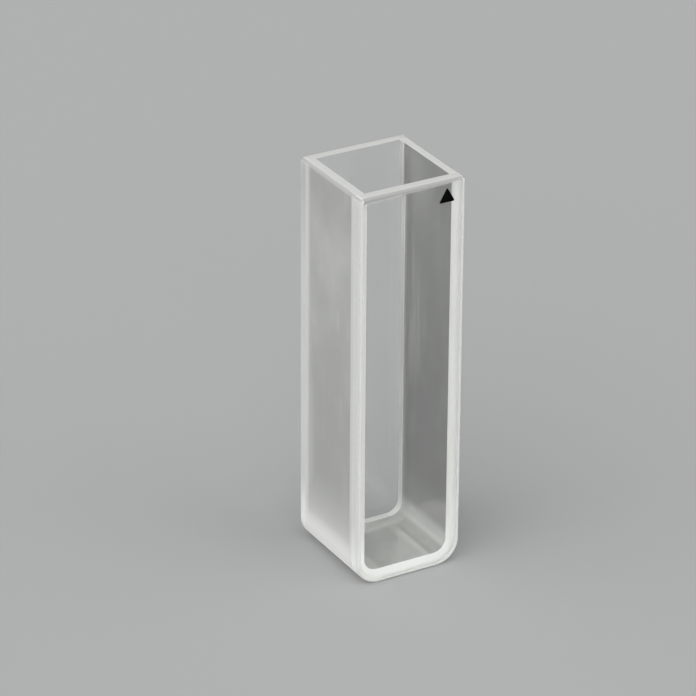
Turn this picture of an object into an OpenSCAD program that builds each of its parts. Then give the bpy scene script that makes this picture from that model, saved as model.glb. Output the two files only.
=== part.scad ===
// Square quartz cell that holds a liquid sample in a beam of light.
// A U-shaped frame makes the two ground sides and the floor, and a polished
// plate is fused over each of its open faces. The cell stands on Z = 0 about
// the Z axis, with its windows facing -Y and +Y and its open rim at the top.

/* [Cell] */
// Outside width, from one ground side to the other
cell_w = 12.5; // [10:0.5:20]
// Outside depth, from the front window to the rear window
cell_d = 12.5; // [8:0.5:54]
// Height from the base to the open rim
cell_h = 45; // [25:1:60]

/* [Frame] */
// Thickness of each ground side
side_t = 1.25; // [1:0.05:2]
// Thickness of the floor
floor_t = 1.25; // [1:0.05:3]
// Radius of the fillet between the floor and each side
fillet_r = 1.5; // [0.5:0.05:2]

/* [Windows] */
// Thickness of each polished window
window_t = 1.25; // [1:0.05:2]

/* [Outer edges] */
// Radius of the two long corners under the cell
corner_r = 2.75; // [1:0.05:3]
// Width of the fine bevel ground along the outer edges
bevel_w = 0.25; // [0.1:0.05:0.4]

/* [Hidden] */
$fn = 96;

// Clear width between the sides
inside_w = cell_w - 2 * side_t;
// Light path between the windows, which is also the depth of the frame
path_l = cell_d - 2 * window_t;
// How far a cutter runs past the face that it cuts
past = 0.5;

ground = [0.80, 0.81, 0.79];
polished = [0.80, 0.86, 0.88, 0.4];

// Upright outline with a flat base and two round lower corners
module round_base(w, low, high, r) {
    translate([-w / 2, low + r]) square([w, high - low - r]);
    translate([-w / 2 + r, low]) square([w - 2 * r, 2 * r]);
    for (side = [-1, 1])
        translate([side * (w / 2 - r), low + r]) circle(r);
}

// Outside outline, seen from the front, with the rim's bevel at its top corners
module cell_outline() {
    difference() {
        round_base(cell_w, 0, cell_h, corner_r);
        for (side = [-1, 1])
            translate([side * cell_w / 2, cell_h])
                rotate(45)
                    square(bevel_w * sqrt(2), center = true);
    }
}

// Space for the liquid, open at the top
module inside_outline() {
    round_base(inside_w, floor_t, cell_h + past, fillet_r);
}

// Two sides and the floor in one piece
module u_frame() {
    color(ground)
        rotate([90, 0, 0])
            linear_extrude(path_l, center = true)
                difference() {
                    cell_outline();
                    inside_outline();
                }
}

// Section of the bevel cutter: x = 0 is the plate's edge and y = 0 its outer face
module bevel_section() {
    polygon([
        [-bevel_w - past, -past],
        [past, bevel_w + past],
        [past, -past],
    ]);
}

// Cutter that follows the plate's whole edge, with its outer face on Y = 0
module edge_bevel() {
    // upright edges
    for (side = [0, 1])
        mirror([side, 0, 0])
            translate([cell_w / 2, 0, corner_r])
                linear_extrude(cell_h - corner_r + past)
                    bevel_section();
    // round lower corners
    for (side = [0, 1])
        mirror([side, 0, 0])
            translate([cell_w / 2 - corner_r, 0, corner_r])
                rotate([-90, 0, 0])
                    rotate_extrude(angle = 90)
                        translate([corner_r, 0])
                            bevel_section();
    // base and rim
    translate([-cell_w / 2 + corner_r, 0, 0])
        rotate([90, 90, 90])
            linear_extrude(cell_w - 2 * corner_r)
                bevel_section();
    translate([cell_w / 2 + past, 0, cell_h])
        rotate([90, -90, -90])
            linear_extrude(cell_w + 2 * past)
                bevel_section();
}

// Polished plate over one open face of the frame, its outer face towards -Y
module window_plate() {
    translate([0, -cell_d / 2, 0])
        difference() {
            translate([0, window_t, 0])
                rotate([90, 0, 0])
                    linear_extrude(window_t)
                        cell_outline();
            edge_bevel();
        }
}

module front_window() {
    color(polished) window_plate();
}

module rear_window() {
    color(polished) rotate([0, 0, 180]) window_plate();
}

u_frame();
front_window();
rear_window();
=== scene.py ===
import math

import bmesh
import bpy
from mathutils import Matrix, Vector


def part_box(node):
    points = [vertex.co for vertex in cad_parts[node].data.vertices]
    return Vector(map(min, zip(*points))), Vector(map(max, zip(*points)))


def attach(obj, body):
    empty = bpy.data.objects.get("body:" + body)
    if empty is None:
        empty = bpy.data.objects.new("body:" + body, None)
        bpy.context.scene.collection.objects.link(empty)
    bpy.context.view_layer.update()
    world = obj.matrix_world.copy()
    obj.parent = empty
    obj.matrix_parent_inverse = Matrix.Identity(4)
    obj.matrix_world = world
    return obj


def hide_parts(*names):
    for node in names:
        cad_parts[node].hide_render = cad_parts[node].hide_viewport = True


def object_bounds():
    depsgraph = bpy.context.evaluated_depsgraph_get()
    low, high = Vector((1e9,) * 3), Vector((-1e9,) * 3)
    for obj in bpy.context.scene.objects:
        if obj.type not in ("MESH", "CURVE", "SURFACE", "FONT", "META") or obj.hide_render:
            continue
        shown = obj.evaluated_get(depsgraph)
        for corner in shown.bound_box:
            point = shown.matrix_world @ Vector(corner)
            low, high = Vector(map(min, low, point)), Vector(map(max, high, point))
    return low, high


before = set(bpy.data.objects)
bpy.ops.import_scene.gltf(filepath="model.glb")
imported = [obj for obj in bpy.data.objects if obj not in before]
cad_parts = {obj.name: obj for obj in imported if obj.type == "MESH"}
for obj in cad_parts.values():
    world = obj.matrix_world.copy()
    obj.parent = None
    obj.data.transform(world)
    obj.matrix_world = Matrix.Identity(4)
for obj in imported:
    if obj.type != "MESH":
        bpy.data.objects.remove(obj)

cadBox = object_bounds()
mm = 0.001
up = Vector((0, 0, 1))

# sizes that several pieces share, from the solids where their boxes give them
wholeLow, wholeHigh = cadBox
plateLow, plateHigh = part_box("front_window")
cell = {
    "width": wholeHigh.x - wholeLow.x,
    "depth": wholeHigh.y - wholeLow.y,
    "height": wholeHigh.z - wholeLow.z,
    "plate": plateHigh.y - plateLow.y,  # thickness of each window
    "wall": 1.25 * mm,  # ground sides and floor
    "fillet": 1.5 * mm,  # inside, between floor and sides
    "corner": 2.75 * mm,  # outside, along the base
    "topCorner": 0.45 * mm,  # outside, along the rim
    "edgeRound": 0.28 * mm,  # all round the windows' outer faces
    "arcPoints": 40,  # round each lower corner
}
insideHalf = cell["width"] / 2 - cell["wall"]
pathHalf = cell["depth"] / 2 - cell["plate"]  # windows' inner faces lie here


# small helpers for the node trees of the finishes
def newMaterial(name):
    mat = bpy.data.materials.new(name)
    mat.use_nodes = True
    mat.node_tree.nodes.clear()
    return mat, mat.node_tree


def feed(tree, value, socket):
    # links a node's output to the socket, or sets a plain number or colour on it
    if hasattr(value, "links"):
        tree.links.new(value, socket)
    elif isinstance(value, tuple):
        socket.default_value = (*value, 1.0)
    else:
        socket.default_value = value


def addPlace(tree):
    # where a point lies on its piece: the whole vector, then x, y and z
    coords = tree.nodes.new("ShaderNodeTexCoord").outputs["Object"]
    apart = tree.nodes.new("ShaderNodeSeparateXYZ")
    tree.links.new(coords, apart.inputs[0])
    return (coords, *apart.outputs)


def addNoise(tree, coords, perMetre, detail=4.0, stretch=(1, 1, 1), seed=0.0):
    mapping = tree.nodes.new("ShaderNodeMapping")
    mapping.inputs["Scale"].default_value = stretch
    mapping.inputs["Location"].default_value = (seed, seed * 0.7, seed * 1.3)
    noise = tree.nodes.new("ShaderNodeTexNoise")
    noise.inputs["Scale"].default_value = perMetre
    noise.inputs["Detail"].default_value = detail
    tree.links.new(coords, mapping.inputs["Vector"])
    tree.links.new(mapping.outputs["Vector"], noise.inputs["Vector"])
    return noise.outputs["Fac"]


def addRamp(tree, value, low, high, fromValue=0.0, toValue=1.0):
    # a soft step: fromValue up to low, toValue beyond high
    ramp = tree.nodes.new("ShaderNodeMapRange")
    ramp.interpolation_type = "SMOOTHSTEP"
    ramp.inputs["From Min"].default_value = low
    ramp.inputs["From Max"].default_value = high
    ramp.inputs["To Min"].default_value = fromValue
    ramp.inputs["To Max"].default_value = toValue
    tree.links.new(value, ramp.inputs["Value"])
    return ramp.outputs["Result"]


def addMath(tree, kind, *values):
    node = tree.nodes.new("ShaderNodeMath")
    node.operation = kind
    for socket, value in zip(node.inputs, values):
        feed(tree, value, socket)
    return node.outputs[0]


def addProduct(tree, *values):
    product = values[0]
    for value in values[1:]:
        product = addMath(tree, "MULTIPLY", product, value)
    return product


def addLargest(tree, *values):
    largest = values[0]
    for value in values[1:]:
        largest = addMath(tree, "MAXIMUM", largest, value)
    return largest


def addMix(tree, amount, first, second):
    # the first colour where amount is 0, the second where it is 1
    node = tree.nodes.new("ShaderNodeMix")
    node.data_type = "RGBA"
    feed(tree, amount, node.inputs["Factor"])
    feed(tree, first, node.inputs[6])
    feed(tree, second, node.inputs[7])
    return node.outputs[2]


def addQuartz(tree, roughness=0.0, clear=0.0):
    quartz = tree.nodes.new("ShaderNodeBsdfPrincipled")
    quartz.inputs["Roughness"].default_value = roughness
    quartz.inputs["IOR"].default_value = polished["ior"]
    quartz.inputs["Transmission Weight"].default_value = clear
    return quartz


def addOutput(tree, shader):
    out = tree.nodes.new("ShaderNodeOutputMaterial")
    tree.links.new(shader.outputs[0], out.inputs["Surface"])


# clear faces, with faint smudges
polished = {
    "ior": 1.4585,
    "clear": (0.995, 0.998, 0.995),
    "smudge": (0.955, 0.96, 0.955),
    "smudgesPerMetre": 260,
    "smudged": (0.52, 0.8),  # noise levels between which a smudge comes up
}


def makePolishedQuartz():
    mat, tree = newMaterial("polishedQuartz")
    coords, *_ = addPlace(tree)
    smudge = addNoise(tree, coords, polished["smudgesPerMetre"], 5, (1, 1, 0.5), 3.1)
    smudge = addRamp(tree, smudge, *polished["smudged"])
    glass = addQuartz(tree, clear=1.0)
    feed(tree, addMix(tree, smudge, polished["clear"], polished["smudge"]), glass.inputs["Base Color"])
    addOutput(tree, glass)
    return mat


# what all the ground faces share
ground = {
    "roughness": 0.55,
    "grainsPerMetre": 4500,
    "grainDepth": 0.01 * mm,
    "grainStrength": 0.35,
    "grainLevels": (0.35, 0.65),  # noise levels between which the tone goes from dark to light
    "wornAndShaded": (0.33, 0.333, 0.325),  # on rounded edges: wear from handling, and painted shade against the highlights the roundings catch
    "rounded": (0.8, 0.995),  # how squarely a face looks out where wear and shade are full, and where they are gone
    "cornerRounded": (0.6, 0.7),  # the same where three sides meet
}


def addWearAndShade(tree, share):
    # rounded edges, told by normals that face no side squarely, darkened by wear and by painted shade
    normal = tree.nodes.new("ShaderNodeSeparateXYZ")
    tree.links.new(tree.nodes.new("ShaderNodeNewGeometry").outputs["Normal"], normal.inputs[0])
    squarest = addLargest(tree, *(addMath(tree, "ABSOLUTE", way) for way in normal.outputs))
    edge = addRamp(tree, squarest, *ground["rounded"], share, 0.0)
    corner = addRamp(tree, squarest, *ground["cornerRounded"], 1.0 - share, 0.0)
    return addMath(tree, "ADD", edge, corner)


def makeGroundQuartz(name, paintFinish):
    # milky face: part of the light comes back, part of it passes and spreads
    mat, tree = newMaterial(name)
    coords, x, y, z = addPlace(tree)
    grain = addNoise(tree, coords, ground["grainsPerMetre"], 3, seed=0.4)
    colour, through = paintFinish(tree, coords, x, y, z, grain)
    milky = addQuartz(tree, ground["roughness"])
    feed(tree, colour, milky.inputs["Base Color"])
    passing = tree.nodes.new("ShaderNodeBsdfTranslucent")
    feed(tree, colour, passing.inputs["Color"])
    bump = tree.nodes.new("ShaderNodeBump")
    bump.inputs["Strength"].default_value = ground["grainStrength"]
    bump.inputs["Distance"].default_value = ground["grainDepth"]
    tree.links.new(grain, bump.inputs["Height"])
    tree.links.new(bump.outputs["Normal"], milky.inputs["Normal"])
    both = tree.nodes.new("ShaderNodeMixShader")
    feed(tree, through, both.inputs["Fac"])
    tree.links.new(milky.outputs[0], both.inputs[1])
    tree.links.new(passing.outputs[0], both.inputs[2])
    addOutput(tree, both)
    return mat


# the U frame's outside: sides and underside
sideLook = {
    "dark": (0.33, 0.334, 0.325),
    "light": (0.415, 0.42, 0.41),
    "white": (0.56, 0.565, 0.55),  # where the grinding is heavier along the seams, and painted light along the base
    "through": 0.22,  # share of the light that passes
    "baseThrough": 0.02,
    "rim": 0.75,  # share of white along the rim
    "frontSeam": (4.62 * mm, 4.42 * mm),  # white as far as the first, plain from the second inwards
    "frontShare": 0.9,
    "rearSeam": (4.7 * mm, 3.75 * mm),  # softer along the rear window
    "rearShares": (36 * mm, 43 * mm, 1.0, 0.8),  # and thinner towards the rim
    "base": (5.5 * mm, 1.55 * mm),  # heights between which the sides turn white, going down: painted light where less light reaches
    "haze": (9.5 * mm, 3.0 * mm, 0.5),  # a thinner painted white above it
    "baseLean": 0.2,  # climb of both from the right side to the left one
    "low": (0.92, 0.925, 0.90),  # painted light round the lowest corners, whose faces turn away from the light
    "lowest": (0.4 * mm, 2.75 * mm),  # full up to the first height, gone from the second
    "lowCorner": (5.2 * mm, 5.8 * mm),  # outwards of these; inwards it is the underside's tone
    "foot": (0.985, 0.99, 0.975),  # whitest, round the right corner: painted highlight, seen through the fillet inside
    "footHeights": (1.8 * mm, 3.6 * mm, 0.95, 0.0),
    "footCorner": (5.3 * mm, 5.75 * mm),
    "patchStreaksPerMetre": 1100,
    "patchStreakLevels": (0.42, 0.6),  # noise levels between which a streak comes up
    # share of darkening on the roundings near the rim: wear, and painted shade
    "wearAndShade": 0.6,
    "wornAndShadedFrom": 3 * mm,  # below the rim
}
clouds = {
    "seed": 4.4,
    "perMetre": {"broad": 95, "patch": 420, "streak": 1300},
    "broad": 0.75,  # and the shares of each in the tone
    "patch": 0.45,
    "streak": 0.12,
    "grain": 0.15,
    "streakLevels": (0.5, 0.68),  # noise levels between which a streak comes up
    "streakPatches": (0.46, 0.62),  # and those of the patches that it shows in
    "rise": (18 * mm, 31 * mm, 0.32),  # lighter between these heights
    "fall": (37 * mm, 45 * mm, 0.42),  # and darker again towards the rim
    "contrast": 0.3,  # tone to either side of the middle that goes from dark to light
}
specks = (  # dust, then tiny pits
    {"perMetre": 520, "share": 0.22, "size": 0.045, "strength": 0.8, "colour": (0.62, 0.625, 0.61)},
    {"perMetre": 430, "share": 0.18, "size": 0.04, "strength": 0.8, "colour": (0.22, 0.223, 0.217)},
)
patches = (  # side, middle across and up, reach across and up in mm, share, how streaky, how crisp
    (-1, (5.0, 9.0), (2.4, 24.0), 0.42, 0.1, 0.0),
    (1, (4.3, 26.0), (4.4, 11.0), 0.85, 0.6, 0.0),
    (1, (4.0, 41.0), (5.0, 5.0), 0.35, 0.2, 0.0),
    (-1, (-4.6, 23.0), (1.6, 4.0), 0.18, 0.7, 0.0),
    # painted reflection: this crisp patch low on the right stands for the floor's light mirrored in the
    # right wall's inside
    (1, (-6.0, 0.0), (9.6, 6.9), 0.78, 0.0, 0.72),
)
# the underside, seen through the cell's floor: painted light, a high tone with whiter lines and bands where
# the glass would show bright light
under = {
    "dark": (0.585, 0.59, 0.572),
    "light": (0.89, 0.895, 0.87),
    "strip": (2.6 * mm, 3.5 * mm),  # painted highlight along both long edges of the flat foot
    "stripStart": 0.6 * mm,  # how softly it begins
    "stripEnd": 0.08 * mm,  # and ends
    "stripShares": (1.0 * mm, 2.5 * mm, 0.82, 0.4),  # thinner towards the rear
    "rounding": (0.3 * mm, 1.0 * mm, 0.1, 0.45),  # beyond that strip
    "slant": (0.9 * mm, 2.1 * mm, 0.42),  # painted light line, slanting towards the front and the right
    "slantWay": (0.77, -0.64),
    "slantBeyond": 0.3,  # what is left of it beyond the strip
    # painted light: whiter towards the rear, and on the left
    "rear": (2.6 * mm, 3.8 * mm),
    "left": 0.1 * mm,
    "patchesPerMetre": 420,
    "patchShares": (0.35, 0.65, -0.08, 0.12),
}


def addSpecks(tree, coords, colour):
    for look in specks:
        cells = tree.nodes.new("ShaderNodeTexVoronoi")
        cells.inputs["Scale"].default_value = look["perMetre"]
        tree.links.new(coords, cells.inputs["Vector"])
        pick = tree.nodes.new("ShaderNodeSeparateColor")
        tree.links.new(cells.outputs["Color"], pick.inputs[0])
        size = addRamp(tree, pick.outputs[0], 1.0 - look["share"], 1.0, 0.0, look["size"])
        size = addMath(tree, "ADD", size, 1e-4)  # never nothing, for the division
        inside = addMath(tree, "DIVIDE", cells.outputs["Distance"], size)
        speck = addRamp(tree, inside, 0.5, 1.0, look["strength"], 0.0)
        colour = addMix(tree, speck, colour, look["colour"])
    return colour


def addPatch(tree, coords, x, y, z, patch):
    # a soft-edged whiter patch on one side: heavier grinding, but in the last patch painted reflection
    whichSide, middle, reach, share, streaky, crisp = patch
    away = []
    for value, centre, span in zip((y, z), middle, reach):
        off = addMath(tree, "SUBTRACT", value, centre * mm)
        off = addMath(tree, "DIVIDE", off, span * mm)
        away.append(addMath(tree, "MULTIPLY", off, off))
    away = addMath(tree, "ADD", *away)
    streak = addNoise(tree, coords, sideLook["patchStreaksPerMetre"], 3, (1, 1, 0.07), 6.0 + middle[1] * 0.1)
    streak = addRamp(tree, streak, *sideLook["patchStreakLevels"], 1.0 - streaky, 1.0)
    here = addRamp(tree, away, crisp, 1.0, share, 0.0)
    there = addRamp(tree, x, -1 * mm, 1 * mm, (1 - whichSide) / 2, (1 + whichSide) / 2)
    return addProduct(tree, here, streak, there)


def addClouds(tree, coords, z, grain):
    # uneven grinding: broad clouds, smaller patches and upright streaks
    count, seed = clouds["perMetre"], clouds["seed"]
    broad = addNoise(tree, coords, count["broad"], 2, (1, 1, 0.7), seed)
    patch = addNoise(tree, coords, count["patch"], 4, (1, 1, 0.6), seed + 1.0)
    streak = addNoise(tree, coords, count["streak"], 3, (1, 1, 0.05), seed + 2.0)
    streak = addRamp(tree, streak, *clouds["streakLevels"])
    streak = addMath(tree, "MULTIPLY", streak, addRamp(tree, patch, *clouds["streakPatches"]))
    tone = addMath(tree, "MULTIPLY", grain, clouds["grain"])
    tone = addMath(tree, "MULTIPLY_ADD", patch, clouds["patch"], tone)
    tone = addMath(tree, "MULTIPLY_ADD", broad, clouds["broad"], tone)
    tone = addMath(tree, "MULTIPLY_ADD", streak, clouds["streak"], tone)
    for key, sign in (("rise", 1.0), ("fall", -1.0)):
        low, high, share = clouds[key]
        tone = addMath(tree, "MULTIPLY_ADD", addRamp(tree, z, low, high), sign * share, tone)
    middle = (clouds["grain"] + clouds["patch"] + clouds["broad"] + clouds["rise"][2]) / 2
    return addRamp(tree, tone, middle - clouds["contrast"], middle + clouds["contrast"])


def addUnder(tree, coords, x, y):
    # beneath the floor: painted light and painted highlight lines along the edges of the foot, with random
    # patches
    sideways = addMath(tree, "ABSOLUTE", x)
    start, end = under["strip"]
    edge = end + under["stripEnd"]
    strip = addRamp(tree, sideways, start - under["stripStart"], start + under["stripStart"])
    strip = addProduct(tree, strip, addRamp(tree, sideways, end, edge, 1.0, 0.0),
                       addRamp(tree, y, *under["stripShares"]))
    first, last, least, most = under["rounding"]
    rounding = addRamp(tree, sideways, end + first, end + last, least, most)
    across, along = under["slantWay"]
    slant = addMath(tree, "MULTIPLY", x, across)
    slant = addMath(tree, "MULTIPLY_ADD", y, along, slant)
    low, high, most = under["slant"]
    slant = addRamp(tree, slant, low, high, 0.0, most)
    slant = addMath(tree, "MULTIPLY", slant, addRamp(tree, sideways, end, edge, 1.0, under["slantBeyond"]))
    rear = addRamp(tree, y, *under["rear"])
    left = addRamp(tree, x, -end - under["left"], -end + under["left"], 1.0, 0.0)
    share = addLargest(tree, rounding, strip, slant, rear, left)
    patch = addNoise(tree, coords, under["patchesPerMetre"], 3, seed=8.0)
    patch = addRamp(tree, patch, *under["patchShares"])
    return addMix(tree, addMath(tree, "ADD", share, patch), under["dark"], under["light"])


def addWhitening(tree, coords, x, y, z):
    # how much whiter the sides are, from heavier grinding and from painted light along the base: in all, and
    # along the base alone
    rim = addRamp(tree, z, cell["height"] - cell["topCorner"], cell["height"], 0.0, sideLook["rim"])
    full, none = sideLook["frontSeam"]
    front = addRamp(tree, y, -full, -none, sideLook["frontShare"], 0.0)
    full, none = sideLook["rearSeam"]
    rear = addRamp(tree, y, none, full)
    rear = addMath(tree, "MULTIPLY", rear, addRamp(tree, z, *sideLook["rearShares"]))
    level = addMath(tree, "MULTIPLY_ADD", x, sideLook["baseLean"], z)
    high, low = sideLook["base"]
    base = addRamp(tree, level, low, high, 1.0, 0.0)
    high, low, share = sideLook["haze"]
    haze = addRamp(tree, level, low, high, share, 0.0)
    spots = [addPatch(tree, coords, x, y, z, patch) for patch in patches]
    return addLargest(tree, base, rim, front, rear, haze, *spots), base


def paintSide(tree, coords, x, y, z, grain):
    # gives the colour, and the share of the light that passes, as paintEdge and paintJoint do
    colour = addMix(tree, addClouds(tree, coords, z, grain), sideLook["dark"], sideLook["light"])
    white, base = addWhitening(tree, coords, x, y, z)
    colour = addMix(tree, white, colour, sideLook["white"])
    # painted highlight round the lower right corner, which shows through the fillet inside
    foot = addRamp(tree, z, *sideLook["footHeights"])
    foot = addMath(tree, "MULTIPLY", foot, addRamp(tree, x, *sideLook["footCorner"]))
    dense = addLargest(tree, base, foot)  # hardly any light passes here
    through = addRamp(tree, dense, 0.0, 1.0, sideLook["through"], sideLook["baseThrough"])
    # painted light: the lowest corners whiter, and the underside's painted tone
    corner = addRamp(tree, addMath(tree, "ABSOLUTE", x), *sideLook["lowCorner"])
    low = addMix(tree, corner, addUnder(tree, coords, x, y), sideLook["low"])
    colour = addMix(tree, addRamp(tree, z, *sideLook["lowest"], 1.0, 0.0), colour, low)
    colour = addMix(tree, foot, colour, sideLook["foot"])
    colour = addSpecks(tree, coords, colour)
    # wear and painted shade darken the roundings near the rim
    high = addRamp(tree, z, cell["height"] - sideLook["wornAndShadedFrom"], cell["height"])
    wornAndShaded = addMath(tree, "MULTIPLY", addWearAndShade(tree, sideLook["wearAndShade"]), high)
    return addMix(tree, wornAndShaded, colour, ground["wornAndShaded"]), through


# the windows' edges and the narrow ground border round their outer faces
edgeLook = {
    "dark": (0.69, 0.694, 0.68),
    "light": (0.73, 0.734, 0.72),
    "rear": (0.77, 0.774, 0.76),
    "rearHigh": (0.61, 0.614, 0.60),  # towards the rim
    "rearHeights": (31 * mm, 42 * mm),
    # low, rearLow, brim, heel and lowest: painted light, whiter low down where less light reaches
    "low": (0.87, 0.875, 0.855),
    "lowHeights": (3 * mm, 8 * mm, 0.75, 0.0),
    "rearLow": (0.985, 0.99, 0.975),
    "rearLowHeights": (3 * mm, 9 * mm, 0.9, 0.0),
    # painted light on the right side walls, lifting the shade at the joint's outer edge
    "right": (0.96, 0.965, 0.95),
    "rightFrom": (insideHalf - 0.6 * mm, insideHalf + 0.4 * mm),
    "brim": (0.82, 0.824, 0.81),  # along the foot of the outer faces
    "heel": (0.70, 0.704, 0.69),  # where they turn under
    "heelHeights": (0.1 * mm, 0.45 * mm),
    "lowest": (0.5 * mm, 2.3 * mm),  # full up to the first height, gone from the second
    "rim": (0.84, 0.844, 0.83),
    "rimDeep": 0.5 * mm,
    "through": 0.5,
    "footThrough": (0.6, 0.0),  # on the outer face, and behind it
    "unevenPerMetre": 70,
    "uneven": (0.35, 0.65, 0.5, 1.0),  # noise levels, and the rear tone's share at each
    # darker roundings: wear, and painted shade against their highlights
    "wearAndShade": 0.7,
    "wearAndShadeHeights": (2.5 * mm, 6 * mm, 0.1, 0.35),  # its share, low down and higher up
    "heelWearAndShade": 0.5,  # and what the heel and the rim add to it
    "rimWearAndShade": 0.65,
}


def paintEdge(tree, coords, x, y, z, grain):
    # painted light whiter low down and on the right; darker roundings from wear and painted shade
    fine = addRamp(tree, grain, *ground["grainLevels"])
    colour = addMix(tree, fine, edgeLook["dark"], edgeLook["light"])
    lowest = addRamp(tree, z, *edgeLook["lowest"], 1.0, 0.0)
    heel = addRamp(tree, z, *edgeLook["heelHeights"], 1.0, 0.0)
    rim = addRamp(tree, z, cell["height"] - edgeLook["rimDeep"], cell["height"])
    flush = cell["depth"] / 2 - cell["edgeRound"]
    behind = addRamp(tree, addMath(tree, "ABSOLUTE", y), flush - 0.1 * mm, flush, 1.0, 0.0)
    rearSide = addMath(tree, "MULTIPLY", behind, addRamp(tree, y, -mm, mm))

    front, back = edgeLook["footThrough"]
    change = addRamp(tree, behind, 0, 1, front - edgeLook["through"], back - edgeLook["through"])
    through = addMath(tree, "MULTIPLY_ADD", lowest, change, edgeLook["through"])

    uneven = addNoise(tree, coords, edgeLook["unevenPerMetre"], 2, seed=2.5)
    uneven = addRamp(tree, uneven, *edgeLook["uneven"])
    rear = addMix(tree, addRamp(tree, z, *edgeLook["rearHeights"]), edgeLook["rear"], edgeLook["rearHigh"])
    colour = addMix(tree, addMath(tree, "MULTIPLY", rearSide, uneven), colour, rear)
    # painted light: whiter low down, along the foot and on the right
    for place, heights, tone in ((behind, "lowHeights", "low"), (rearSide, "rearLowHeights", "rearLow")):
        share = addMath(tree, "MULTIPLY", place, addRamp(tree, z, *edgeLook[heights]))
        colour = addMix(tree, share, colour, edgeLook[tone])
    brim = addMix(tree, behind, edgeLook["brim"], edgeLook["low"])
    turned = addMix(tree, behind, edgeLook["heel"], edgeLook["low"])
    colour = addMix(tree, lowest, colour, addMix(tree, heel, brim, turned))
    colour = addMix(tree, rim, colour, edgeLook["rim"])
    right = addRamp(tree, x, *edgeLook["rightFrom"])
    right = addProduct(tree, right, behind, addMath(tree, "SUBTRACT", 1.0, rim))
    colour = addMix(tree, right, colour, edgeLook["right"])

    # wear and painted shade on the roundings, more at the heel and the rim
    wearAndShade = addRamp(tree, z, *edgeLook["wearAndShadeHeights"])
    wearAndShade = addMath(tree, "MULTIPLY_ADD", heel, edgeLook["heelWearAndShade"], wearAndShade)
    wearAndShade = addMath(tree, "MULTIPLY_ADD", rim, edgeLook["rimWearAndShade"], wearAndShade)
    wornAndShaded = addMath(tree, "MULTIPLY", addWearAndShade(tree, edgeLook["wearAndShade"]), wearAndShade)
    return addMix(tree, wornAndShaded, colour, ground["wornAndShaded"]), through


# the sintered joints between frame and windows, seen through the glass
jointLook = {
    "dark": (0.79, 0.795, 0.78),
    "light": (0.81, 0.815, 0.80),
    # painted light: whiter low down and towards the right edge, where the joint gets too little light
    "low": (0.965, 0.97, 0.955),
    "lowHeights": (2.5 * mm, 8 * mm, 0.9, 0.0),
    "outer": 1.0 * mm,  # width over which it turns the same on the right
}


def paintJoint(tree, coords, x, y, z, grain):
    # painted light: whiter low down and on the right; no light passes
    fine = addRamp(tree, grain, *ground["grainLevels"])
    colour = addMix(tree, fine, jointLook["dark"], jointLook["light"])
    lower = addRamp(tree, z, *jointLook["lowHeights"])
    outer = addRamp(tree, x, insideHalf, insideHalf + jointLook["outer"])
    return addMix(tree, addLargest(tree, lower, outer), colour, jointLook["low"]), 0.0


# the windows' top edge
fading = {
    "start": 1.35 * mm,  # from here to the end, measured out over the rim and down the face
    "end": 1.9 * mm,
    "rear": 0.45 * mm,  # how much sooner it fades on the rear window
    "turn": (0.95 * mm, 1.2 * mm),  # where the colour goes over from the top's to the face's
    "lean": 0.35 * mm,  # how much sooner it fades at the right
    "wander": 0.08 * mm,
    "grainsPerMetre": 5000,
    "roughness": 0.55,
    "white": (0.47, 0.473, 0.462),  # on top
    "whiteFace": (0.25, 0.253, 0.246),  # on the rounding and the face below: darker than the top, as painted shade against the light the rounding catches
    "bend": 2.2,  # how long the white colour lasts as the glass turns clear
    "corner": (1.0 * mm, 0.6 * mm, 0.5),  # reach across and down of the haze in the corners, and its share
}


def makeFadingRim():
    # ground white inside, polished away towards the outer face
    mat, tree = newMaterial("fadingRim")
    coords, x, y, z = addPlace(tree)
    deep = addMath(tree, "SUBTRACT", addMath(tree, "ABSOLUTE", y), pathHalf)
    down = addMath(tree, "SUBTRACT", cell["height"], z)
    way = addMath(tree, "ADD", deep, down)
    upper = addRamp(tree, way, *fading["turn"], 1.0, 0.0)
    way = addMath(tree, "ADD", way, addRamp(tree, y, -mm, mm, 0.0, fading["rear"]))
    grain = addNoise(tree, coords, fading["grainsPerMetre"], 3, seed=5.0)
    way = addMath(tree, "MULTIPLY_ADD", grain, fading["wander"], way)
    way = addMath(tree, "MULTIPLY_ADD", x, fading["lean"] / cell["width"], way)
    offset = fading["wander"] / 2
    milk = addRamp(tree, way, fading["start"] + offset, fading["end"] + offset, 1.0, 0.0)

    across, below, share = fading["corner"]
    sideways = addMath(tree, "SUBTRACT", insideHalf, addMath(tree, "ABSOLUTE", x))
    sideways = addMath(tree, "MAXIMUM", sideways, 0.0)
    sideways = addMath(tree, "DIVIDE", sideways, across)
    beneath = addMath(tree, "DIVIDE", down, below)
    haze = addRamp(tree, addMath(tree, "ADD", sideways, beneath), 0.0, 1.0, share, 0.0)
    clear = addMath(tree, "SUBTRACT", 1.0, addLargest(tree, milk, haze))

    # painted shade: the rounding and face below take a darker white than the top
    white = addMix(tree, upper, fading["whiteFace"], fading["white"])
    share = addMath(tree, "SUBTRACT", 1.0, addMath(tree, "POWER", clear, fading["bend"]))
    glass = addQuartz(tree)
    feed(tree, clear, glass.inputs["Transmission Weight"])
    feed(tree, addMath(tree, "MULTIPLY", upper, fading["roughness"]), glass.inputs["Roughness"])
    feed(tree, addMix(tree, share, polished["clear"], white), glass.inputs["Base Color"])
    addOutput(tree, glass)
    return mat


# walls and floor beside the rear window: a fused white line inside the joint
seam = {
    "solid": 0.5 * mm,  # fades between these two widths
    "reach": 1.1 * mm,
    "roughness": 0.55,
    "white": (0.62, 0.625, 0.608),
    "lower": (0.70, 0.705, 0.685),
    "lowerHeights": (2.0 * mm, 4.0 * mm),
    "upper": (0.42, 0.423, 0.412),
    "upperHeights": (cell["height"] - 9 * mm, cell["height"] - 4 * mm),
}


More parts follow.
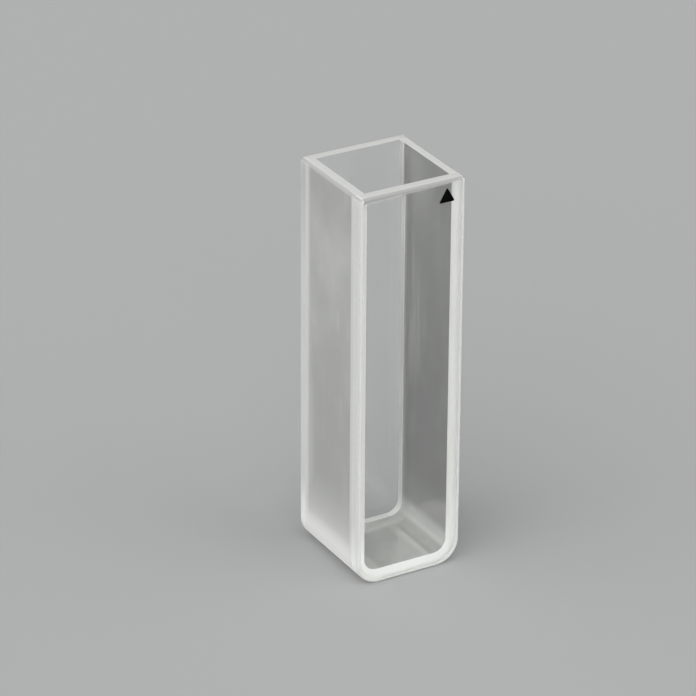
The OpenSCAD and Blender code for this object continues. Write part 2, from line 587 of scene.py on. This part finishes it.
def makeFadingSeam():
    mat, tree = newMaterial("fadingSeam")
    _, _, y, z = addPlace(tree)
    away = addMath(tree, "SUBTRACT", pathHalf, y)
    milk = addRamp(tree, away, seam["solid"], seam["reach"], 1.0, 0.0)
    lower = addRamp(tree, z, *seam["lowerHeights"], 1.0, 0.0)
    white = addMix(tree, lower, seam["white"], seam["lower"])
    white = addMix(tree, addRamp(tree, z, *seam["upperHeights"]), white, seam["upper"])
    glass = addQuartz(tree)
    feed(tree, addMath(tree, "SUBTRACT", 1.0, milk), glass.inputs["Transmission Weight"])
    feed(tree, addMath(tree, "MULTIPLY", milk, seam["roughness"]), glass.inputs["Roughness"])
    feed(tree, addMix(tree, milk, polished["clear"], white), glass.inputs["Base Color"])
    addOutput(tree, glass)
    return mat


ink = {
    "thin": (0.004, 0.004, 0.0045),
    "full": (0.001, 0.001, 0.001),
    "roughness": 0.6,
    "grainsPerMetre": 4000,
}


def makeBlackInk():
    mat, tree = newMaterial("blackInk")
    coords, *_ = addPlace(tree)
    film = tree.nodes.new("ShaderNodeBsdfPrincipled")
    film.inputs["Roughness"].default_value = ink["roughness"]
    film.inputs["Specular IOR Level"].default_value = 0.0
    uneven = addNoise(tree, coords, ink["grainsPerMetre"], 3, seed=7.0)
    feed(tree, addMix(tree, uneven, ink["full"], ink["thin"]), film.inputs["Base Color"])
    addOutput(tree, film)
    return mat


polishedQuartz = makePolishedQuartz()
fadingRim = makeFadingRim()
fadingSeam = makeFadingSeam()
blackInk = makeBlackInk()
groundSide = makeGroundQuartz("groundSide", paintSide)
groundEdge = makeGroundQuartz("groundEdge", paintEdge)
groundJoint = makeGroundQuartz("groundJoint", paintJoint)
print("finishes ready")


# mesh helpers
def finishMesh(bm, name, materials):
    mesh = bpy.data.meshes.new(name)
    bm.to_mesh(mesh)
    bm.free()
    for mat in materials:
        mesh.materials.append(mat)
    piece = bpy.data.objects.new(name, mesh)
    bpy.context.scene.collection.objects.link(piece)
    return piece


def evaluatedMesh(piece):
    graph = bpy.context.evaluated_depsgraph_get()
    graph.update()
    return bpy.data.meshes.new_from_object(piece.evaluated_get(graph))


def keepFlats(piece):
    # shading normals follow the large faces, so only the roundings look round
    flats = piece.modifiers.new("flats", "WEIGHTED_NORMAL")
    flats.keep_sharp = True
    mesh = evaluatedMesh(piece)
    piece.modifiers.clear()
    piece.data = mesh
    return piece


def near(a, b, slack=0.02 * mm):
    return abs(a - b) < slack


# the U frame: a flat strip swept along a filleted U
sweep = {
    "endGap": 0.01 * mm,  # keeps its ends off the windows
    "innerRound": 0.11,  # of the rim's inner edges, as a share of its outer ones
    "roundSteps": 5,
}


def makeSweepTree():
    tree = bpy.data.node_groups.new("sweepStrip", "GeometryNodeTree")
    face = tree.interface
    face.new_socket("Path", in_out="INPUT", socket_type="NodeSocketGeometry")
    sockets = {}
    for name, kind in (("Strip Depth", "NodeSocketFloat"), ("Strip Thickness", "NodeSocketFloat"),
                       ("Middle Radius", "NodeSocketFloat"), ("Arc Points", "NodeSocketInt"),
                       ("Finish", "NodeSocketMaterial")):
        sockets[name] = face.new_socket(name, in_out="INPUT", socket_type=kind).identifier
    face.new_socket("Strip", in_out="OUTPUT", socket_type="NodeSocketGeometry")
    nodes, links = tree.nodes, tree.links
    start = nodes.new("NodeGroupInput")
    end = nodes.new("NodeGroupOutput")
    fillet = nodes.new("GeometryNodeFilletCurve")
    fillet.mode = "POLY"
    section = nodes.new("GeometryNodeCurvePrimitiveQuadrilateral")
    swept = nodes.new("GeometryNodeCurveToMesh")
    swept.inputs["Fill Caps"].default_value = True
    real = nodes.new("GeometryNodeRealizeInstances")
    finish = nodes.new("GeometryNodeSetMaterial")
    links.new(start.outputs["Path"], fillet.inputs["Curve"])
    links.new(start.outputs["Arc Points"], fillet.inputs["Count"])
    links.new(start.outputs["Middle Radius"], fillet.inputs["Radius"])
    links.new(start.outputs["Strip Thickness"], section.inputs["Width"])
    links.new(start.outputs["Strip Depth"], section.inputs["Height"])
    links.new(fillet.outputs["Curve"], swept.inputs["Curve"])
    links.new(section.outputs["Curve"], swept.inputs["Profile Curve"])
    links.new(swept.outputs["Mesh"], real.inputs["Geometry"])
    links.new(real.outputs["Geometry"], finish.inputs["Geometry"])
    links.new(start.outputs["Finish"], finish.inputs["Material"])
    links.new(finish.outputs["Geometry"], end.inputs["Strip"])
    return tree, sockets


def sweepFrame():
    middle = cell["wall"] / 2
    half = cell["width"] / 2 - middle
    corners = [(-half, cell["height"]), (-half, middle), (half, middle), (half, cell["height"])]
    curve = bpy.data.curves.new("uPath", "CURVE")
    curve.dimensions = "3D"
    line = curve.splines.new("POLY")
    line.points.add(len(corners) - 1)
    for point, (x, z) in zip(line.points, corners):
        point.co = (x, 0, z, 1)
    path = bpy.data.objects.new("uPath", curve)
    bpy.context.scene.collection.objects.link(path)
    tree, sockets = makeSweepTree()
    mod = path.modifiers.new("sweep", "NODES")
    mod.node_group = tree
    mod[sockets["Strip Depth"]] = 2 * (pathHalf - sweep["endGap"])
    mod[sockets["Strip Thickness"]] = cell["wall"]
    mod[sockets["Middle Radius"]] = cell["fillet"] + middle
    mod[sockets["Arc Points"]] = cell["arcPoints"]
    mod[sockets["Finish"]] = groundSide
    mesh = evaluatedMesh(path)
    bpy.data.objects.remove(path)
    return mesh


def roundRim(piece):
    # the rim's long edges, wide outside and narrow inside
    def weigh(edge):
        a, b = (v.co for v in edge.verts)
        if not (near(a.z, cell["height"]) and near(b.z, cell["height"]) and near(a.x, b.x)):
            return 0.0
        return 1.0 if near(abs(a.x), cell["width"] / 2) else sweep["innerRound"]

    bm = bmesh.new()
    bm.from_mesh(piece.data)
    layer = bm.edges.layers.float.new("bevel_weight_edge")
    for edge in bm.edges:
        edge[layer] = weigh(edge)
        edge.smooth = edge[layer] > 0 or edge.calc_face_angle(0) < math.radians(30)
    for face in bm.faces:
        face.smooth = True
    bm.to_mesh(piece.data)
    bm.free()
    rounding = piece.modifiers.new("rounding", "BEVEL")
    rounding.limit_method = "WEIGHT"
    rounding.width = cell["topCorner"]
    rounding.segments = sweep["roundSteps"]
    rounding.use_clamp_overlap = False


def makeFrame():
    rear = pathHalf - seam["reach"]  # the inside takes the seam's finish beyond this
    bm = bmesh.new()
    bm.from_mesh(sweepFrame())
    everything = bm.verts[:] + bm.edges[:] + bm.faces[:]
    bmesh.ops.bisect_plane(bm, geom=everything, plane_co=(0, rear, 0), plane_no=(0, 1, 0))
    piece = finishMesh(bm, "uFrame", (groundSide, groundEdge, groundJoint, polishedQuartz, fadingSeam))
    roundRim(piece)
    keepFlats(piece)

    def finishOf(centre, normal):
        slack = 0.01 * mm
        if abs(normal.y) > 0.9:
            return groundJoint
        if normal.z > 0.98 and near(centre.z, cell["height"]):
            return groundEdge
        inside = abs(centre.x) < insideHalf + slack and centre.z > cell["wall"] - slack
        if inside and normal.x * centre.x <= 1e-9:
            return fadingSeam if centre.y > rear else polishedQuartz
        return groundSide

    slots = {mat.name: slot for slot, mat in enumerate(piece.data.materials)}
    for face in piece.data.polygons:
        face.material_index = slots[finishOf(face.center, face.normal).name]
    return piece


uFrame = makeFrame()
print("U frame swept")


# the windows: flat plates whose edges are ground and slightly rounded
window = {
    "roundSteps": 5,
    "frosted": 0.95 * mm,  # strip under the rim where the grinding runs over
    "margin": 0.42 * mm,  # ground border round the outer face, its rounding included
    "clearCorner": cell["corner"] + 0.05 * mm,  # inner radius of that border, wider in the lower corners
}


def arc(x, z, radius, start, steps):
    # quarter circle of points (x, z), anticlockwise from the angle start
    turns = [start + math.pi / 2 * step / steps for step in range(steps + 1)]
    return [(x + radius * math.cos(turn), z + radius * math.sin(turn)) for turn in turns]


def plateOutline(inset, lowerRadius=None):
    # anticlockwise from the top left corner, with stops where strips end
    half, top = cell["width"] / 2 - inset, cell["height"] - inset
    small = max(cell["topCorner"] - inset, 0.02 * mm)
    big = lowerRadius or cell["corner"] - inset
    stop = cell["height"] - window["frosted"]
    return (
        arc(small - half, top - small, small, math.pi / 2, window["roundSteps"])
        + [(-half, stop)]
        + arc(big - half, inset + big, big, math.pi, cell["arcPoints"])
        + arc(half - big, inset + big, big, math.pi * 1.5, cell["arcPoints"])
        + [(half, stop)]
        + arc(half - small, top - small, small, 0, window["roundSteps"])
        + [(insideHalf, top), (-insideHalf, top)]
    )


def clearOutline():
    # the bare glass inside the joint, from its top left down and round to its top right
    radius, across = cell["fillet"], insideHalf - cell["fillet"]
    height = cell["wall"] + cell["fillet"]
    left = arc(-across, height, radius, math.pi, cell["arcPoints"])
    return left + arc(across, height, radius, math.pi * 1.5, cell["arcPoints"])


def makeWindow(name):
    # the front window; its outer face looks towards -Y
    bm = bmesh.new()
    outer, inner, bend = -cell["depth"] / 2, -pathHalf, cell["edgeRound"]
    glass, milk, fused, top = range(4)  # the slots of the piece's finishes
    border = plateOutline(window["margin"], window["clearCorner"])
    rings = [[bm.verts.new((x, outer, z)) for x, z in border]]
    for step in range(window["roundSteps"] + 1):
        turn = math.pi / 2 * step / window["roundSteps"]
        y = outer + bend * (1 - math.cos(turn))
        rings.append([bm.verts.new((x, y, z)) for x, z in plateOutline(bend * (1 - math.sin(turn)))])
    rings.append([bm.verts.new((x, inner, z)) for x, z in plateOutline(0)])
    count = len(rings[0])
    left = window["roundSteps"] + 1  # the stops at the foot of the frosted strip
    right = left + 2 * cell["arcPoints"] + 3
    onTop = range(count - 3, count)  # the level run between the upper corners
    for ring, following in zip(rings, rings[1:]):
        for i in range(count):
            j = (i + 1) % count
            band = bm.faces.new((ring[i], ring[j], following[j], following[i]))
            band.material_index = top if i in onTop else milk
            band.smooth = True
    face = rings[0]
    bm.faces.new(face[left:right + 1]).material_index = glass
    bm.faces.new(face[right:] + face[:left + 1]).material_index = top
    clear = [bm.verts.new((x, inner, z)) for x, z in clearOutline()]
    back = rings[-1]
    bm.faces.new(back[-1:] + back[:-1] + clear[::-1]).material_index = fused
    bm.faces.new(back[-1:] + clear + back[-2:-1]).material_index = glass
    bmesh.ops.recalc_face_normals(bm, faces=bm.faces)
    for line in bm.edges:
        if all(near(corner.co.y, inner) for corner in line.verts):
            line.smooth = False
    return keepFlats(finishMesh(bm, name, (polishedQuartz, groundEdge, groundJoint, fadingRim)))


frontWindow = makeWindow("frontWindow")
rearWindow = makeWindow("rearWindow")
rearWindow.data.transform(Matrix.Rotation(math.pi, 4, "Z"))
print("windows cut")


# a small printed mark that shows which way round the cell goes
mark = {
    "centre": (4.0 * mm, 43.1 * mm),  # across the front window, and up it
    "side": 1.7 * mm,
    "cornerRadius": 0.12 * mm,
    "cornerSteps": 8,
    "gap": 0.002 * mm,  # between ink and glass
    "ink": 0.012 * mm,
}


def makeMark():
    bm = bmesh.new()
    across, height = mark["centre"]
    radius = mark["cornerRadius"]
    reach = mark["side"] / math.sqrt(3) - radius
    outline = []
    for corner in range(3):
        lean = math.pi / 2 + corner * 2 * math.pi / 3
        x, z = across + reach * math.cos(lean), height + reach * math.sin(lean)
        for step in range(mark["cornerSteps"] + 1):
            turn = lean - math.pi / 3 + step / mark["cornerSteps"] * 2 * math.pi / 3
            outline.append((x + radius * math.cos(turn), z + radius * math.sin(turn)))
    y = -cell["depth"] / 2 - mark["gap"]
    rear = [bm.verts.new((x, y, z)) for x, z in outline]
    front = [bm.verts.new((x, y - mark["ink"], z)) for x, z in outline]
    bm.faces.new(rear)
    bm.faces.new(front)
    for i in range(len(outline)):
        j = (i + 1) % len(outline)
        bm.faces.new((rear[i], rear[j], front[j], front[i]))
    bmesh.ops.recalc_face_normals(bm, faces=bm.faces)
    return finishMesh(bm, "sideMark", (blackInk,))


sideMark = makeMark()
print("mark printed")


# every piece rides on the one body and stands for its solid
for piece, node, slot in ((uFrame, "u_frame", "ground_quartz"),
                          (frontWindow, "front_window", "polished_quartz"),
                          (rearWindow, "rear_window", "polished_quartz")):
    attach(piece, "root")
    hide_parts(node)
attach(sideMark, "root")


# floor and light
studio = {
    "floorSize": 4.0,
    "floorColour": (0.325, 0.328, 0.33),
    "floorDrop": 0.02 * mm,
    "dimSide": (0.24, 0.24, 0.243),  # light from the right and behind
    "brightSide": (3.10, 3.10, 3.08),  # light from the left and in front
    "brightest": (-0.55, -0.80, -0.30),
}


def makeFloor():
    bm = bmesh.new()
    half = studio["floorSize"] / 2
    corners = ((-half, -half), (half, -half), (half, half), (-half, half))
    bm.faces.new([bm.verts.new((x, y, -studio["floorDrop"])) for x, y in corners])
    mat, tree = newMaterial("paleFloor")
    matt = tree.nodes.new("ShaderNodeBsdfDiffuse")
    feed(tree, studio["floorColour"], matt.inputs["Color"])
    addOutput(tree, matt)
    finishMesh(bm, "floor", (mat,))


def makeLight():
    # one large soft sky, bright on one side
    world = bpy.data.worlds.new("softStudio")
    bpy.context.scene.world = world
    world.use_nodes = True
    tree = world.node_tree
    tree.nodes.clear()
    out = tree.nodes.new("ShaderNodeOutputWorld")
    sky = tree.nodes.new("ShaderNodeBackground")
    coords = tree.nodes.new("ShaderNodeTexCoord")
    towards = tree.nodes.new("ShaderNodeVectorMath")
    towards.operation = "DOT_PRODUCT"
    tree.links.new(coords.outputs["Generated"], towards.inputs[0])
    towards.inputs[1].default_value = studio["brightest"]
    share = addRamp(tree, towards.outputs["Value"], -1.0, 1.0)
    feed(tree, addMix(tree, share, studio["dimSide"], studio["brightSide"]), sky.inputs["Color"])
    tree.links.new(sky.outputs[0], out.inputs["Surface"])


shot = {
    "azimuth": -29.858,
    "elevation": 26.567,
    "roll": 0.331,
    "distance": 418.8 * mm,
    "lens": 206.1,
    "aside": -3.423 * mm,  # the cell stands a little off the picture's middle
    "above": 1.476 * mm,
}


def makeCamera():
    a, e, r = (math.radians(shot[key]) for key in ("azimuth", "elevation", "roll"))
    back = Vector((math.sin(a) * math.cos(e), -math.cos(a) * math.cos(e), math.sin(e)))
    level = up.cross(back).normalized()
    steep = back.cross(level)
    right = math.cos(r) * level + math.sin(r) * steep
    top = -math.sin(r) * level + math.cos(r) * steep
    place = Vector((0, 0, cell["height"] / 2)) + shot["aside"] * right + shot["above"] * top
    turned = Matrix((right, top, back)).transposed().to_4x4()
    camera = bpy.data.objects.new("camera", bpy.data.cameras.new("camera"))
    camera.matrix_world = Matrix.Translation(place + shot["distance"] * back) @ turned
    camera.data.lens = shot["lens"]
    camera.data.sensor_width = 36
    camera.data.clip_start = 0.01
    camera.data.clip_end = 20
    bpy.context.scene.collection.objects.link(camera)
    bpy.context.scene.camera = camera


makeFloor()
makeLight()
makeCamera()
scene = bpy.context.scene
scene.view_settings.view_transform = "Standard"
scene.cycles.max_bounces = 32  # light crosses many faces inside the walls
scene.cycles.transmission_bounces = 32
scene.cycles.diffuse_bounces = 12
scene.cycles.blur_glossy = 0.0  # keeps the light inside clear walls true
print("studio lit")
